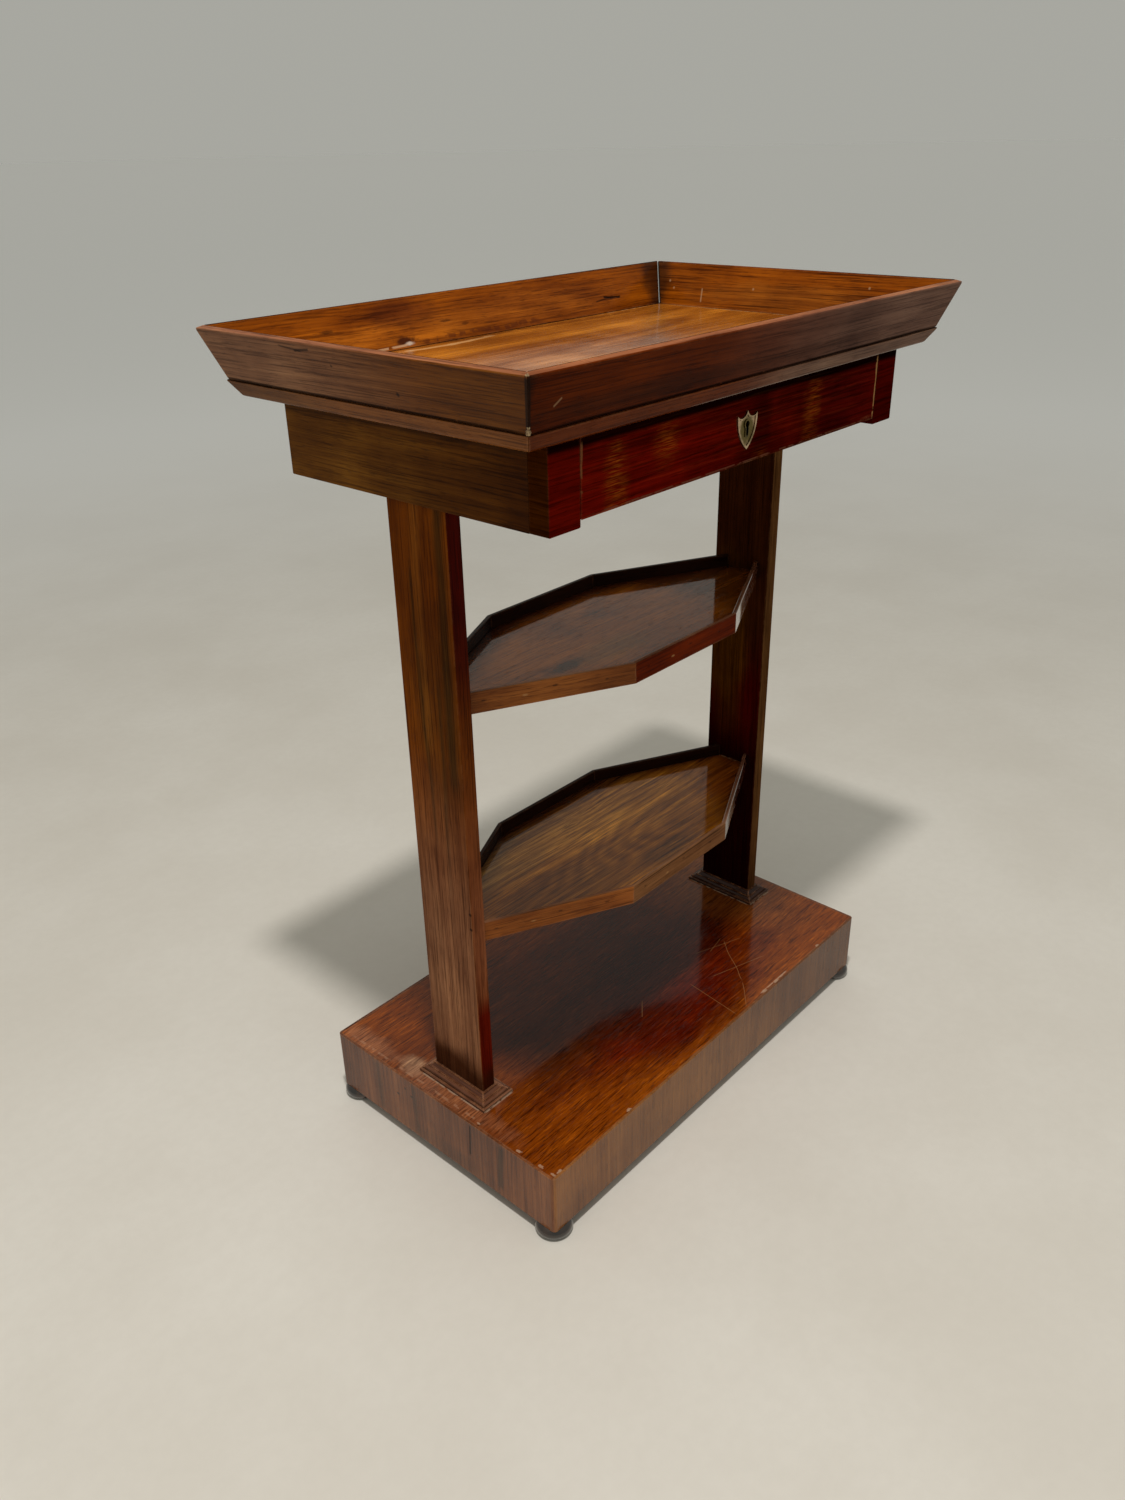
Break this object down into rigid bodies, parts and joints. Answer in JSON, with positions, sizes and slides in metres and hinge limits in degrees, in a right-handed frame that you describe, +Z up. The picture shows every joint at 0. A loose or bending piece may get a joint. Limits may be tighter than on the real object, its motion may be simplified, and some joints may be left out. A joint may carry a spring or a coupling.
{
  "type": "side table with drawer",
  "caption": "Narrow side table: canted tray top, shallow box with a drawer, flat uprights, octagonal tray shelves and a plinth on bun feet.",
  "frame": {"origin": "on the floor, at the middle of the outline of the tray top", "axes": "+X to the right seen from the drawer front, -Y the way the drawer opens, +Z up"},
  "size_m": [0.4942, 0.301, 0.67],
  "materials": {
    "polished_mahogany": "worn French polish, glossy, orange-brown",
    "dark_mahogany": "old dark red-brown French polish",
    "plinth_veneer": "faded brown veneer, satin, upright grain",
    "drawer_pine": "unfinished aged softwood, matt",
    "ebonised_wood": "near-black stained, satin",
    "old_brass": "aged, dull, dirt in the corners",
    "iron": "old dark iron"
  },
  "bodies": {
    "table": {"tray_board_front": "polished_mahogany", "tray_moulding_front": "polished_mahogany", "plinth_rail_front": "plinth_veneer", "tray_board_back": "polished_mahogany", "tray_moulding_back": "polished_mahogany", "plinth_rail_back": "plinth_veneer", "tray_board_left": "polished_mahogany", "tray_moulding_left": "polished_mahogany", "plinth_rail_left": "plinth_veneer", "tray_board_right": "polished_mahogany", "tray_moulding_right": "polished_mahogany", "plinth_rail_right": "plinth_veneer", "tray_floor": "polished_mahogany", "tray_screws": "iron", "box_end_left": "dark_mahogany", "box_end_right": "dark_mahogany", "box_stile_left": "dark_mahogany", "box_stile_right": "dark_mahogany", "box_back_rail": "dark_mahogany", "drawer_runner_left": "drawer_pine", "drawer_runner_right": "drawer_pine", "drawer_stop": "drawer_pine", "upright_left": "dark_mahogany", "upright_right": "dark_mahogany", "upper_shelf_panel": "polished_mahogany", "upper_shelf_rim_front_left": "polished_mahogany", "upper_shelf_rim_front_mid": "polished_mahogany", "upper_shelf_rim_front_right": "polished_mahogany", "upper_shelf_rim_back_left": "polished_mahogany", "upper_shelf_rim_back_mid": "polished_mahogany", "upper_shelf_rim_back_right": "polished_mahogany", "lower_shelf_panel": "polished_mahogany", "lower_shelf_rim_front_left": "polished_mahogany", "lower_shelf_rim_front_mid": "polished_mahogany", "lower_shelf_rim_front_right": "polished_mahogany", "lower_shelf_rim_back_left": "polished_mahogany", "lower_shelf_rim_back_mid": "polished_mahogany", "lower_shelf_rim_back_right": "polished_mahogany", "plinth_top": "polished_mahogany", "upright_moulding_left_front": "dark_mahogany", "upright_moulding_left_back": "dark_mahogany", "upright_moulding_left_outer": "dark_mahogany", "upright_moulding_left_inner": "dark_mahogany", "upright_moulding_right_front": "dark_mahogany", "upright_moulding_right_back": "dark_mahogany", "upright_moulding_right_outer": "dark_mahogany", "upright_moulding_right_inner": "dark_mahogany", "foot_front_left": "ebonised_wood", "foot_back_left": "ebonised_wood", "foot_front_right": "ebonised_wood", "foot_back_right": "ebonised_wood"},
    "drawer": {"drawer_front": "dark_mahogany", "drawer_side_left": "drawer_pine", "drawer_side_right": "drawer_pine", "drawer_back": "drawer_pine", "drawer_bottom": "drawer_pine", "escutcheon": "old_brass", "lock_case": "iron", "lock_screws": "iron"},
    "lock_bolt": {"lock_bolt": "iron"}
  },
  "joints": [
    {"name": "drawer_slide", "type": "slide", "parent": "table", "child": "drawer", "axis": [0, -1, 0], "range_m": [0, 0.165]},
    {"name": "lock_bolt_slide", "type": "slide", "parent": "drawer", "child": "lock_bolt", "axis": [0, 0, 1], "range_m": [0, 0.006]}
  ]
}
